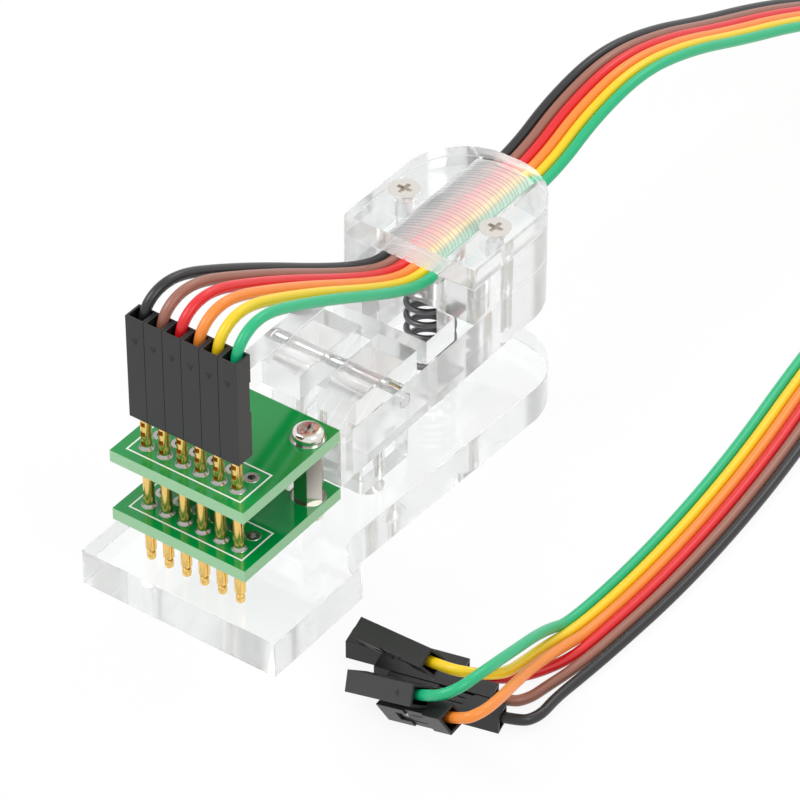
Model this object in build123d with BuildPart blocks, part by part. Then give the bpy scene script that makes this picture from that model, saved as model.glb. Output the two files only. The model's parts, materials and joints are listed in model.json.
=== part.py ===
from build123d import *
from math import cos, radians, sin, tan
import os

# Test clip for a circuit board: a clear acrylic peg that presses six sprung probes on a board.
# Millimetres. X runs along the row of probes, Y from the jaw to the finger end, Z up.
# The origin is under the middle of the clip, on the surface that it stands on.

os.makedirs("parts", exist_ok=True)

# Base plate
CLIP_LENGTH = 65.2
BASE_LENGTH = 63.4
BASE_THICKNESS = 5.0
JAW_WIDTH = 27.5
JAW_DEPTH = 16.6
WAIST_WIDTH = 19.4
BASE_REAR_WIDTH = 23.6
JAW_LEDGE = 0.65
BASE_REAR_RADIUS = 9.0

# Lever and the clamp on its rear end
LEVER_WIDTH = 18.6
LEVER_THICKNESS = 6.8
JAW_GAP = 8.0
LEVER_SHOULDER = 18.55
TONGUE_WIDTH = 10.0
TONGUE_LENGTH = 4.0
LEVER_REAR_RADIUS = 8.4
SIDE_BAR = 2.65
CLAMP_LENGTH = 20.8
SADDLE_THICKNESS = 5.0
COVER_THICKNESS = 3.0
WINDOW_LENGTH = 5.6
CROSS_BAR = 1.9

# Hinge
PIVOT_DIAMETER = 2.0
PIVOT_SETBACK = 30.9
PIVOT_BELOW_TOP = 2.4
PIVOT_CLEARANCE = 0.03
POST_WIDTH = 5.0
POST_DEPTH = 9.0
POST_CORNER = 1.6
POST_SIDE_CLEARANCE = 0.18
POST_END_CLEARANCE = 1.4
OPENING_ANGLE = 12.0

# Return spring
SPRING_DIAMETER = 6.4
SPRING_WIRE = 0.8
SPRING_PITCH = 1.95
SPRING_FROM_REAR = 16.4
SPRING_SEAT_DEPTH = 1.0
SPRING_POCKET_DEPTH = 2.6
SPRING_SEAT_CLEARANCE = 0.3
SPRING_WELL_CLEARANCE = 0.9

# Boards
BOARD_WIDTH = 18.7
BOARD_LENGTH = 17.8
BOARD_THICKNESS = 1.6
BOARD_SETBACK = 0.6
PROBE_COUNT = 6
PROBE_PITCH = 2.54
PROBE_SETBACK = 3.5
SPARE_HOLE_DIAMETER = 1.0
STANDOFF_SPREAD = 14.4
STANDOFF_SETBACK = 15.3
STANDOFF_ACROSS_FLATS = 3.2

# Probes
BARREL_DIAMETER = 1.3
BARREL_BORE = 1.14
BARREL_BOTTOM_ABOVE_JAW = 1.65
TIP_GAP = 0.1
BARREL_ABOVE_BOARD = 8.6
BARREL_BORE_LENGTH = 15.0
BARREL_CLEARANCE = 0.03
TAIL_WINDOW = 0.62
TAIL_WINDOW_PITCH = 1.35
TAIL_WINDOW_COUNT = 3
TIP_DIAMETER = 1.08
TIP_LENGTH = 1.25
NECK_DIAMETER = 0.8
NECK_LENGTH = 2.2
PLUNGER_LENGTH = 8.4
PROBE_TRAVEL = 1.5
PROBE_SPRING_DIAMETER = 0.98
PROBE_SPRING_WIRE = 0.24
PROBE_SPRING_PITCH = 0.8

# Screws
SCREW_DIAMETER = 2.0
SCREW_HOLE_CLEARANCE = 0.1
FLAT_HEAD_DIAMETER = 3.8
PAN_HEAD_DIAMETER = 3.7
PAN_HEAD_HEIGHT = 1.3
RECESS_WIDTH = 0.55
RECESS_SPAN = 2.0
RECESS_DEPTH = 0.7
POST_SCREW_LENGTH = 12.0
SEAT_SCREW_LENGTH = 8.0
COVER_SCREW_LENGTH = 14.0
BOARD_SCREW_LENGTH = 4.6
COVER_SCREW_SPREAD = 13.0
COVER_SCREW_FROM_REAR = 12.6

# Single sockets and leads
SOCKET_WIDTH = 2.5
SOCKET_LENGTH = 14.0
SOCKET_CAVITY = 1.9
SOCKET_ABOVE_BOARD = 4.7
SOCKET_STEP = 2.2
SOCKET_WINDOW_WIDTH = 1.1
SOCKET_WINDOW_LENGTH = 2.6
SOCKET_WINDOW_OFFSET = 3.6
LATCH_LENGTH = 3.2
LATCH_DEPTH = 0.12
TERMINAL_WIDTH = 1.84
TERMINAL_BORE = 1.34
TERMINAL_LENGTH = 8.0
TERMINAL_INSET = 0.6
WIRE_DIAMETER = 1.3
WIRE_PITCH = 1.35
WIRE_CHANNEL_CLEARANCE = 0.1
WIRE_RISE = 1.6
WIRE_INSERT = 0.8
LEADS = ["black", "brown", "red", "orange", "yellow", "green"]

# The ribbon of free leads, as the middle of its six wires, from the clamp to where it fans out.
RIBBON_ROUTE = [
    (0.0, 32.6, 24.15), (0.0, 37.6, 24.4), (0.0, 45.5, 27.3), (0.2, 55.5, 28.6), (0.6, 66.0, 26.1),
    (1.0, 77.5, 21.4), (1.4, 89.5, 17.0), (2.2, 101.0, 12.0), (4.0, 111.5, 6.6), (7.9, 120.6, 2.4),
    (14.4, 127.4, 0.75), (22.4, 128.6, 0.65), (29.4, 123.8, 0.65), (32.8, 114.6, 0.65),
    (33.4, 102.6, 0.65), (32.6, 88.8, 0.65), (32.4, 74.6, 0.65), (33.2, 60.4, 0.65),
    (35.0, 46.2, 0.65), (37.2, 32.2, 0.65), (38.6, 18.4, 0.65), (39.2, 5.0, 0.65), (38.8, -6.6, 0.65),
]

# Where each lead goes after the ribbon, in order from the ribbon to its socket.
LEAD_ENDS = {
    "black": [(42.5, -14.2, 0.65), (43.1, -20.6, 0.95)],
    "brown": [(41.3, -12.8, 0.65), (40.9, -18.6, 0.95)],
    "red": [(39.5, -12.6, 0.65), (36.4, -17.6, 0.95)],
    "orange": [(37.9, -13.6, 2.7), (40.0, -19.8, 5.2), (42.4, -25.6, 7.9), (42.7, -31.2, 9.7)],
    "yellow": [(36.3, -12.6, 2.0), (36.8, -18.2, 4.8), (38.4, -23.2, 7.7), (37.2, -27.1, 9.4)],
    "green": [(34.8, -11.8, 3.0), (36.4, -17.0, 7.0), (39.0, -22.4, 9.9), (40.6, -27.8, 11.1), (39.4, -32.0, 10.7)],
}

# Each loose socket: the middle of its mating end, its turn about Z, its pitch, and its roll about itself.
LOOSE_SOCKETS = {
    "black": ((25.31, -27.69, 1.26), 14.0, 0.0, 0.0),
    "brown": ((22.81, -25.59, 1.26), 14.0, 0.0, 90.0),
    "red": ((17.81, -24.09, 1.26), 14.0, 0.0, 90.0),
    "orange": ((27.55, -29.90, 1.50), -20.0, 30.0, 90.0),
    "yellow": ((19.53, -23.95, 3.76), -18.0, 20.0, 90.0),
    "green": ((22.69, -29.61, 2.06), -18.0, 29.0, 90.0),
}

# Places worked out from the sizes above
FRONT = -CLIP_LENGTH / 2
LEVER_BOTTOM = BASE_THICKNESS + JAW_GAP
LEVER_TOP = LEVER_BOTTOM + LEVER_THICKNESS
LOWER_BOARD_BOTTOM = LEVER_BOTTOM - BOARD_THICKNESS
UPPER_BOARD_TOP = LEVER_TOP + BOARD_THICKNESS
SADDLE_TOP = LEVER_TOP + SADDLE_THICKNESS
COVER_TOP = SADDLE_TOP + COVER_THICKNESS
REAR = FRONT + CLIP_LENGTH
CLAMP_FRONT = REAR - CLAMP_LENGTH
PIVOT_Y = FRONT + PIVOT_SETBACK
PIVOT_Z = LEVER_TOP - PIVOT_BELOW_TOP
SPRING_Y = REAR - SPRING_FROM_REAR
BOARD_Y = FRONT + BOARD_SETBACK + BOARD_LENGTH / 2
PROBE_Y = FRONT + PROBE_SETBACK
STANDOFF_Y = FRONT + STANDOFF_SETBACK
COVER_SCREW_Y = REAR - COVER_SCREW_FROM_REAR
MIDDLE_BAR = LEVER_WIDTH - 2 * SIDE_BAR - 2 * (POST_WIDTH + 2 * POST_SIDE_CLEARANCE)
POST_X = (MIDDLE_BAR + POST_WIDTH) / 2 + POST_SIDE_CLEARANCE
RIBBON_Z = SADDLE_TOP - WIRE_DIAMETER / 2
SOCKET_BOTTOM = UPPER_BOARD_TOP + SOCKET_ABOVE_BOARD
SOCKET_TOP = SOCKET_BOTTOM + SOCKET_LENGTH
LANES = [(i - (PROBE_COUNT - 1) / 2) for i in range(PROBE_COUNT)]
BOARD_HOLE = BARREL_DIAMETER + 2 * BARREL_CLEARANCE
SCREW_HOLE = SCREW_DIAMETER + 2 * SCREW_HOLE_CLEARANCE


def save(part, label):
    """Label one finished piece and write its STEP file."""
    part.label = label
    export_step(part, f"parts/{label}.step")


def shifted(part, x, y, z=0.0):
    """A copy of a solid, moved."""
    return Location((x, y, z)) * part


def flat_screw(length):
    """Countersunk screw with a cross recess, its head's face on Z = 0 and its shank down."""
    cone = (FLAT_HEAD_DIAMETER - SCREW_DIAMETER) / 2
    with BuildPart() as screw:
        with BuildSketch(Plane.XZ):
            with BuildLine():
                Polyline(
                    (0, 0), (FLAT_HEAD_DIAMETER / 2, 0), (SCREW_DIAMETER / 2, -cone),
                    (SCREW_DIAMETER / 2, -length + SCREW_DIAMETER / 4), (SCREW_DIAMETER / 4, -length),
                    (0, -length), close=True,
                )
            make_face()
        revolve(axis=Axis.Z)
        with BuildSketch():
            Rectangle(RECESS_SPAN, RECESS_WIDTH)
            Rectangle(RECESS_WIDTH, RECESS_SPAN)
        extrude(amount=-RECESS_DEPTH, mode=Mode.SUBTRACT)
    return screw.part


def pan_screw(length):
    """Pan head screw with a cross recess, the seat of its head on Z = 0 and its shank down."""
    with BuildPart() as screw:
        with BuildSketch():
            Circle(PAN_HEAD_DIAMETER / 2)
        extrude(amount=PAN_HEAD_HEIGHT)
        fillet(screw.edges().group_by(Axis.Z)[-1], PAN_HEAD_HEIGHT * 0.55)
        with BuildSketch():
            Circle(SCREW_DIAMETER / 2)
        extrude(amount=-length)
        with BuildSketch(Plane.XY.offset(PAN_HEAD_HEIGHT)):
            Rectangle(RECESS_SPAN, RECESS_WIDTH)
            Rectangle(RECESS_WIDTH, RECESS_SPAN)
        extrude(amount=-RECESS_DEPTH, mode=Mode.SUBTRACT)
    return screw.part


def coil(outer_diameter, wire, pitch, bottom, top):
    """Compression spring on the Z axis, with both ends ground flat."""
    radius = (outer_diameter - wire) / 2
    start = bottom - wire / 2
    with BuildPart() as spring:
        with BuildLine(Plane.XY.offset(start)) as path:
            Helix(pitch=pitch, height=top - bottom + wire, radius=radius)
        with BuildSketch(Plane(origin=path.line @ 0, z_dir=path.line % 0)):
            Circle(wire / 2)
        sweep(path=path.line)
        with Locations((0, 0, (bottom + top) / 2)):
            Box(2 * outer_diameter, 2 * outer_diameter, top - bottom, mode=Mode.INTERSECT)
    return spring.part


# Base plate: a wide square jaw, a waist, and a body that widens to a round rear end
with BuildPart() as base_plate:
    with BuildSketch() as base_outline:
        with BuildLine():
            Polyline(
                (-JAW_WIDTH / 2, FRONT), (JAW_WIDTH / 2, FRONT),
                (JAW_WIDTH / 2, FRONT + JAW_DEPTH), (WAIST_WIDTH / 2, FRONT + JAW_DEPTH),
                (BASE_REAR_WIDTH / 2, FRONT + BASE_LENGTH), (-BASE_REAR_WIDTH / 2, FRONT + BASE_LENGTH),
                (-WAIST_WIDTH / 2, FRONT + JAW_DEPTH), (-JAW_WIDTH / 2, FRONT + JAW_DEPTH), close=True,
            )
        make_face()
        fillet(base_outline.vertices().group_by(Axis.Y)[-1], BASE_REAR_RADIUS)
        waist = base_outline.vertices().group_by(Axis.Y)[1].sort_by(Axis.X)[1:3]
        fillet(waist, (JAW_WIDTH - WAIST_WIDTH) / 2 - JAW_LEDGE)
    extrude(amount=BASE_THICKNESS)
    with Locations(Plane(origin=(0, 0, 0), x_dir=(1, 0, 0), z_dir=(0, 0, -1))):
        with Locations((-POST_X, -PIVOT_Y), (POST_X, -PIVOT_Y), (0, -SPRING_Y)):
            CounterSinkHole(SCREW_HOLE / 2, FLAT_HEAD_DIAMETER / 2, depth=BASE_THICKNESS)
    with BuildSketch(Plane.XY.offset(BASE_THICKNESS)):
        with Locations((0, SPRING_Y)):
            Circle(SPRING_DIAMETER / 2 + SPRING_SEAT_CLEARANCE)
    extrude(amount=-SPRING_SEAT_DEPTH, mode=Mode.SUBTRACT)
save(base_plate.part, "base_plate")

# Two pivot posts stand on the base, each held by a screw from below
for side, post_x in (("left", -POST_X), ("right", POST_X)):
    with BuildPart() as pivot_post:
        with BuildSketch(Plane.XY.offset(BASE_THICKNESS)):
            with Locations((post_x, PIVOT_Y)):
                Rectangle(POST_WIDTH, POST_DEPTH)
        extrude(amount=LEVER_TOP - BASE_THICKNESS)
        top_edges = pivot_post.edges().group_by(Axis.Z)[-1].filter_by(Axis.X)
        fillet(top_edges, POST_CORNER)
        with BuildSketch(Plane.YZ.offset(post_x)):
            with Locations((PIVOT_Y, PIVOT_Z)):
                Circle(PIVOT_DIAMETER / 2)
        extrude(amount=POST_WIDTH, both=True, mode=Mode.SUBTRACT)
        with BuildSketch(Plane.XY.offset(BASE_THICKNESS)):
            with Locations((post_x, PIVOT_Y)):
                Circle(SCREW_DIAMETER / 2)
        extrude(amount=POST_SCREW_LENGTH - BASE_THICKNESS, mode=Mode.SUBTRACT)
    save(pivot_post.part, f"pivot_post_{side}")

post_screw = Plane.XY.rotated((180, 0, 0)).location * flat_screw(POST_SCREW_LENGTH)
save(Compound(children=[shifted(post_screw, x, PIVOT_Y) for x in (-POST_X, POST_X)]), "post_screws")

seat_screw = Plane.XY.rotated((180, 0, 0)).location * flat_screw(SEAT_SCREW_LENGTH)
save(shifted(seat_screw, 0, SPRING_Y), "spring_seat_screw")

# Pivot pin, pressed into the posts
with BuildPart() as pivot_pin:
    with BuildSketch(Plane.YZ):
        with Locations((PIVOT_Y, PIVOT_Z)):
            Circle(PIVOT_DIAMETER / 2)
    extrude(amount=LEVER_WIDTH / 2, both=True)
    chamfer(pivot_pin.edges(), PIVOT_DIAMETER / 10)
save(pivot_pin.part, "pivot_pin")

# Lever arm: a tongue between the boards, two slots for the posts, and a window for the spring
SLOT_WIDTH = POST_WIDTH + 2 * POST_SIDE_CLEARANCE
SLOT_LENGTH = POST_DEPTH + 2 * POST_END_CLEARANCE
WINDOW_FRONT = PIVOT_Y + SLOT_LENGTH / 2 + CROSS_BAR
WINDOW_WIDTH = LEVER_WIDTH - 2 * SIDE_BAR
SPRING_WELL = SPRING_DIAMETER / 2 + SPRING_WELL_CLEARANCE
with BuildPart() as lever_arm:
    with BuildSketch(Plane.XY.offset(LEVER_BOTTOM)) as lever_outline:
        with Locations((0, (FRONT + LEVER_SHOULDER + REAR) / 2)):
            Rectangle(LEVER_WIDTH, REAR - FRONT - LEVER_SHOULDER)
        fillet(lever_outline.vertices().group_by(Axis.Y)[-1], LEVER_REAR_RADIUS)
        with Locations((0, FRONT + LEVER_SHOULDER - TONGUE_LENGTH / 2)):
            Rectangle(TONGUE_WIDTH, TONGUE_LENGTH)
        with Locations((-POST_X, PIVOT_Y), (POST_X, PIVOT_Y)):
            Rectangle(SLOT_WIDTH, SLOT_LENGTH, mode=Mode.SUBTRACT)
        with Locations((0, WINDOW_FRONT + WINDOW_LENGTH / 2)):
            Rectangle(WINDOW_WIDTH, WINDOW_LENGTH, mode=Mode.SUBTRACT)
        with Locations((0, (WINDOW_FRONT + SPRING_Y) / 2)):
            Rectangle(2 * SPRING_WELL, SPRING_Y - WINDOW_FRONT, mode=Mode.SUBTRACT)
        with Locations((0, SPRING_Y)):
            Circle(SPRING_WELL, mode=Mode.SUBTRACT)
    extrude(amount=LEVER_THICKNESS)
    with BuildSketch(Plane.YZ):
        with Locations((PIVOT_Y, PIVOT_Z)):
            Circle(PIVOT_DIAMETER / 2 + PIVOT_CLEARANCE)
    extrude(amount=LEVER_WIDTH, both=True, mode=Mode.SUBTRACT)
    with BuildSketch(Plane.XY.offset(LEVER_TOP)):
        with Locations((-COVER_SCREW_SPREAD / 2, COVER_SCREW_Y), (COVER_SCREW_SPREAD / 2, COVER_SCREW_Y)):
            Circle(SCREW_DIAMETER / 2)
    extrude(amount=-(COVER_SCREW_LENGTH - COVER_TOP + LEVER_TOP), mode=Mode.SUBTRACT)
save(lever_arm.part, "lever_arm")


def clamp_plate(bottom, thickness):
    """Plate with the outline of the lever's rear end and two screw holes."""
    with BuildPart() as plate:
        with BuildSketch(Plane.XY.offset(bottom)) as outline:
            with Locations((0, (CLAMP_FRONT + REAR) / 2)):
                Rectangle(LEVER_WIDTH, CLAMP_LENGTH)
            fillet(outline.vertices().group_by(Axis.Y)[-1], LEVER_REAR_RADIUS)
            with Locations((-COVER_SCREW_SPREAD / 2, COVER_SCREW_Y), (COVER_SCREW_SPREAD / 2, COVER_SCREW_Y)):
                Circle(SCREW_HOLE / 2, mode=Mode.SUBTRACT)
        extrude(amount=thickness)
    return plate.part


# Cable saddle: the spring pushes in its underside, the ribbon lies in its top
CHANNEL_WIDTH = WIRE_PITCH * (PROBE_COUNT - 1) + WIRE_DIAMETER + 2 * WIRE_CHANNEL_CLEARANCE
with BuildPart() as cable_saddle:
    add(clamp_plate(LEVER_TOP, SADDLE_THICKNESS))
    with BuildSketch(Plane.XY.offset(SADDLE_TOP)):
        with Locations((0, (CLAMP_FRONT + REAR) / 2)):
            Rectangle(CHANNEL_WIDTH, CLAMP_LENGTH)
    extrude(amount=-WIRE_DIAMETER, mode=Mode.SUBTRACT)
    with BuildSketch(Plane.XY.offset(LEVER_TOP)):
        with Locations((0, SPRING_Y)):
            Circle(SPRING_DIAMETER / 2 + SPRING_SEAT_CLEARANCE)
    extrude(amount=SPRING_POCKET_DEPTH, mode=Mode.SUBTRACT)
save(cable_saddle.part, "cable_saddle")

with BuildPart() as cable_cover:
    add(clamp_plate(SADDLE_TOP, COVER_THICKNESS))
    with Locations(Plane.XY.offset(COVER_TOP)):
        with Locations((-COVER_SCREW_SPREAD / 2, COVER_SCREW_Y), (COVER_SCREW_SPREAD / 2, COVER_SCREW_Y)):
            CounterSinkHole(SCREW_HOLE / 2, FLAT_HEAD_DIAMETER / 2, depth=COVER_THICKNESS)
save(cable_cover.part, "cable_cover")

cover_screw = flat_screw(COVER_SCREW_LENGTH)
save(
    Compound(children=[
        shifted(cover_screw, x, COVER_SCREW_Y, COVER_TOP)
        for x in (-COVER_SCREW_SPREAD / 2, COVER_SCREW_SPREAD / 2)
    ]),
    "cover_screws",
)

return_spring = coil(
    SPRING_DIAMETER, SPRING_WIRE, SPRING_PITCH,
    BASE_THICKNESS - SPRING_SEAT_DEPTH, LEVER_TOP + SPRING_POCKET_DEPTH,
)
save(shifted(return_spring, 0, SPRING_Y), "return_spring")

# Two boards on two standoffs
for label, bottom in (("lower_board", LOWER_BOARD_BOTTOM), ("upper_board", LEVER_TOP)):
    with BuildPart() as board:
        with BuildSketch(Plane.XY.offset(bottom)):
            with Locations((0, BOARD_Y)):
                Rectangle(BOARD_WIDTH, BOARD_LENGTH)
            with Locations(*[(lane * PROBE_PITCH, PROBE_Y) for lane in LANES]):
                Circle(BOARD_HOLE / 2, mode=Mode.SUBTRACT)
            with Locations(*[(lane * PROBE_PITCH, PROBE_Y + PROBE_PITCH) for lane in LANES]):
                Circle(SPARE_HOLE_DIAMETER / 2, mode=Mode.SUBTRACT)
            with Locations((-STANDOFF_SPREAD / 2, STANDOFF_Y), (STANDOFF_SPREAD / 2, STANDOFF_Y)):
                Circle(SCREW_HOLE / 2, mode=Mode.SUBTRACT)
        extrude(amount=BOARD_THICKNESS)
    save(board.part, label)

with BuildPart() as standoff:
    with BuildSketch(Plane.XY.offset(LEVER_BOTTOM)):
        RegularPolygon(STANDOFF_ACROSS_FLATS / 2, 6, major_radius=False)
        Circle(SCREW_DIAMETER / 2, mode=Mode.SUBTRACT)
    extrude(amount=LEVER_THICKNESS)
STANDOFF_SPOTS = (-STANDOFF_SPREAD / 2, STANDOFF_SPREAD / 2)
save(Compound(children=[shifted(standoff.part, x, STANDOFF_Y) for x in STANDOFF_SPOTS]), "board_standoffs")

top_screw = shifted(pan_screw(BOARD_SCREW_LENGTH), 0, STANDOFF_Y, UPPER_BOARD_TOP)
save(Compound(children=[shifted(top_screw, x, 0) for x in STANDOFF_SPOTS]), "upper_board_screws")
turned_screw = Plane.XY.rotated((180, 0, 0)).location * pan_screw(BOARD_SCREW_LENGTH)
bottom_screw = shifted(turned_screw, 0, STANDOFF_Y, LOWER_BOARD_BOTTOM)
save(Compound(children=[shifted(bottom_screw, x, 0) for x in STANDOFF_SPOTS]), "lower_board_screws")

# Probes: a barrel through both boards, a sprung plunger and its spring inside
BARREL_BOTTOM = BASE_THICKNESS + BARREL_BOTTOM_ABOVE_JAW
BARREL_TOP = UPPER_BOARD_TOP + BARREL_ABOVE_BOARD
BORE_TOP = BARREL_BOTTOM + BARREL_BORE_LENGTH
TIP_BOTTOM = BASE_THICKNESS + TIP_GAP
PLUNGER_TOP = TIP_BOTTOM + PLUNGER_LENGTH
with BuildPart() as barrel:
    with BuildSketch(Plane.XY.offset(BARREL_BOTTOM)):
        Circle(BARREL_DIAMETER / 2)
    extrude(amount=BARREL_TOP - BARREL_BOTTOM)
    with BuildSketch(Plane.XY.offset(BARREL_BOTTOM)):
        Circle(BARREL_BORE / 2)
    extrude(amount=BARREL_BORE_LENGTH, mode=Mode.SUBTRACT)
    for step in range(TAIL_WINDOW_COUNT):
        window_z = UPPER_BOARD_TOP + TAIL_WINDOW_PITCH * (step + 0.6)
        with BuildSketch(Plane.XZ.offset(-BARREL_DIAMETER)):
            with Locations((0, window_z)):
                Rectangle(TAIL_WINDOW, TAIL_WINDOW)
        extrude(amount=2 * BARREL_DIAMETER, mode=Mode.SUBTRACT)

with BuildPart() as plunger:
    with BuildSketch(Plane.XZ):
        with BuildLine():
            Polyline(
                (0, TIP_BOTTOM), (TIP_DIAMETER / 2 - 0.1, TIP_BOTTOM), (TIP_DIAMETER / 2, TIP_BOTTOM + 0.1),
                (TIP_DIAMETER / 2, TIP_BOTTOM + TIP_LENGTH), (NECK_DIAMETER / 2, TIP_BOTTOM + TIP_LENGTH),
                (NECK_DIAMETER / 2, TIP_BOTTOM + TIP_LENGTH + NECK_LENGTH),
                (TIP_DIAMETER / 2, TIP_BOTTOM + TIP_LENGTH + NECK_LENGTH),
                (TIP_DIAMETER / 2, PLUNGER_TOP), (0, PLUNGER_TOP), close=True,
            )
        make_face()
    revolve(axis=Axis.Z)

probe_spring = coil(PROBE_SPRING_DIAMETER, PROBE_SPRING_WIRE, PROBE_SPRING_PITCH, PLUNGER_TOP, BORE_TOP)

for number, lane in enumerate(LANES, start=1):
    save(shifted(barrel.part, lane * PROBE_PITCH, PROBE_Y), f"probe_barrel_{number}")
    save(shifted(plunger.part, lane * PROBE_PITCH, PROBE_Y), f"probe_plunger_{number}")
    save(shifted(probe_spring, lane * PROBE_PITCH, PROBE_Y), f"probe_spring_{number}")

# A single socket stands on Z = 0 with its mating end down. Its wire end is open. The wall on its
# latch side is cut back there and has a window and a latch tongue.
with BuildPart() as socket:
    with BuildSketch():
        Rectangle(SOCKET_WIDTH, SOCKET_WIDTH)
        Rectangle(SOCKET_CAVITY, SOCKET_CAVITY, mode=Mode.SUBTRACT)
    extrude(amount=SOCKET_LENGTH)
    with BuildSketch(Plane.XY.offset(SOCKET_LENGTH)):
        with Locations((0, SOCKET_WIDTH / 2)):
            Rectangle(SOCKET_WIDTH, SOCKET_WIDTH - SOCKET_CAVITY)
    extrude(amount=-SOCKET_STEP, mode=Mode.SUBTRACT)
    with BuildSketch(Plane.XZ):
        with Locations((0, SOCKET_WINDOW_OFFSET + SOCKET_WINDOW_LENGTH / 2)):
            Rectangle(SOCKET_WINDOW_WIDTH, SOCKET_WINDOW_LENGTH)
    extrude(amount=-SOCKET_WIDTH, mode=Mode.SUBTRACT)
    with BuildSketch(Plane.XZ.offset(-SOCKET_WIDTH / 2)):
        with Locations((0, SOCKET_WINDOW_OFFSET + SOCKET_WINDOW_LENGTH + LATCH_LENGTH / 2)):
            Rectangle(SOCKET_WINDOW_WIDTH, LATCH_LENGTH)
    extrude(amount=LATCH_DEPTH, mode=Mode.SUBTRACT)

with BuildPart() as terminal:
    with BuildSketch(Plane.XY.offset(TERMINAL_INSET)):
        Rectangle(TERMINAL_WIDTH, TERMINAL_WIDTH)
        Circle(TERMINAL_BORE / 2, mode=Mode.SUBTRACT)
    extrude(amount=TERMINAL_LENGTH)

front_spots = [Location((lane * PROBE_PITCH, PROBE_Y, SOCKET_BOTTOM)) for lane in LANES]
for lead, spot in zip(LEADS, front_spots):
    save(spot * socket.part, f"front_socket_{lead}")
save(Compound(children=[spot * terminal.part for spot in front_spots]), "front_terminals")


def loose_place(lead):
    """Plane of a loose socket's mating end, its normal along the socket to the wire."""
    origin, turn, pitch, roll = LOOSE_SOCKETS[lead]
    turn, pitch, roll = radians(turn), radians(pitch), radians(roll)
    along = Vector(cos(turn) * cos(pitch), sin(turn) * cos(pitch), sin(pitch))
    side = Vector(-sin(turn), cos(turn), 0)
    up = along.cross(side)
    return Plane(origin=origin, x_dir=side * cos(roll) + up * sin(roll), z_dir=along)


loose_spots = [loose_place(lead).location for lead in LEADS]
for lead, spot in zip(LEADS, loose_spots):
    save(spot * socket.part, f"loose_socket_{lead}")
save(Compound(children=[spot * terminal.part for spot in loose_spots]), "loose_terminals")

# Leads: straight runs joined by tangent arcs
TERMINAL_TOP = TERMINAL_INSET + TERMINAL_LENGTH


def arc_radii(points):
    """Radius at each corner of a route, as large as its two runs allow."""
    vectors = [Vector(*point) for point in points]
    radii = []
    for before, corner, after in zip(vectors, vectors[1:], vectors[2:]):
        turn = radians((corner - before).get_angle(after - corner))
        shorter = min((corner - before).length, (after - corner).length)
        radii.append(0.45 * shorter / tan(turn / 2))
    return radii


def lead_tube(points):
    """Wire of the lead's diameter along a route."""
    with BuildPart() as tube:
        with BuildLine() as path:
            FilletPolyline(*points, radius=arc_radii(points))
        with BuildSketch(Plane(origin=path.line @ 0, z_dir=path.line % 0)):
            Circle(WIRE_DIAMETER / 2)
        sweep(path=path.line)
    return tube.part, path.wires()[0].length


def held_route(lane):
    """Route from the crimp terminal in a front socket, up, back and down to the rear of the clamp."""
    high = lane * PROBE_PITCH
    low = lane * WIRE_PITCH
    span = CLAMP_FRONT - PROBE_Y
    fall = SOCKET_TOP - RIBBON_Z
    drop = [
        (0.0, PROBE_Y, SOCKET_BOTTOM + TERMINAL_TOP - WIRE_INSERT), (0.0, PROBE_Y, SOCKET_TOP - 1.2),
        (0.05, PROBE_Y + 2.6, SOCKET_TOP + 1.45), (0.14, PROBE_Y + 6.4, SOCKET_TOP + 1.8),
        (0.3, PROBE_Y + 0.313 * span, SOCKET_TOP - 0.075 * fall),
        (0.5, PROBE_Y + 0.504 * span, SOCKET_TOP - 0.345 * fall),
        (0.72, PROBE_Y + 0.7 * span, SOCKET_TOP - 0.64 * fall),
        (0.9, CLAMP_FRONT - 5.4, RIBBON_Z + 2.0), (1.0, CLAMP_FRONT - 1.8, RIBBON_Z), (1.0, REAR, RIBBON_Z),
    ]
    return [(high + (low - high) * share, y, z) for share, y, z in drop]


def free_route(lead, lane):
    """Route of a free lead: its own lane of the ribbon, then its end in its loose socket."""
    middle = [Vector(*point) for point in RIBBON_ROUTE]
    offset = -lane * WIRE_PITCH
    route = []
    for index, point in enumerate(middle):
        before = middle[max(index - 1, 0)]
        after = middle[min(index + 1, len(middle) - 1)]
        heading = after - before
        heading.Z = 0
        left = Vector(0, 0, 1).cross(heading.normalized())
        place = point + left * offset
        route.append((place.X, place.Y, place.Z))
    route += LEAD_ENDS[lead]
    end = loose_place(lead)
    for reach in (SOCKET_LENGTH + WIRE_RISE, TERMINAL_TOP - WIRE_INSERT):
        place = end.origin + end.z_dir * reach
        route.append((place.X, place.Y, place.Z))
    return route


for lead, lane in zip(LEADS, LANES):
    held = held_route(lane)
    held_tube, held_length = lead_tube(held)
    save(held_tube, f"held_lead_{lead}")
    free = free_route(lead, lane)
    free_tube, free_length = lead_tube(free)
    save(free_tube, f"free_lead_{lead}")
    section = 3.141592653589793 * (WIRE_DIAMETER / 2) ** 2
    print(lead, "held", round(held_length, 1), "free", round(free_length, 1),
          "volume ratio", round(free_tube.volume / (section * free_length), 4),
          "radii", [round(radius, 1) for radius in arc_radii(held) + arc_radii(free)])
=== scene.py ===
"""Looks of a test clip: a clear acrylic peg with six sprung probes, two boards and a ribbon of leads."""

import json
import logging
import math
from collections.abc import Callable, Iterable
from dataclasses import dataclass, field
from enum import Enum

import bmesh
import bpy
from mathutils import Matrix, Vector

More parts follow.
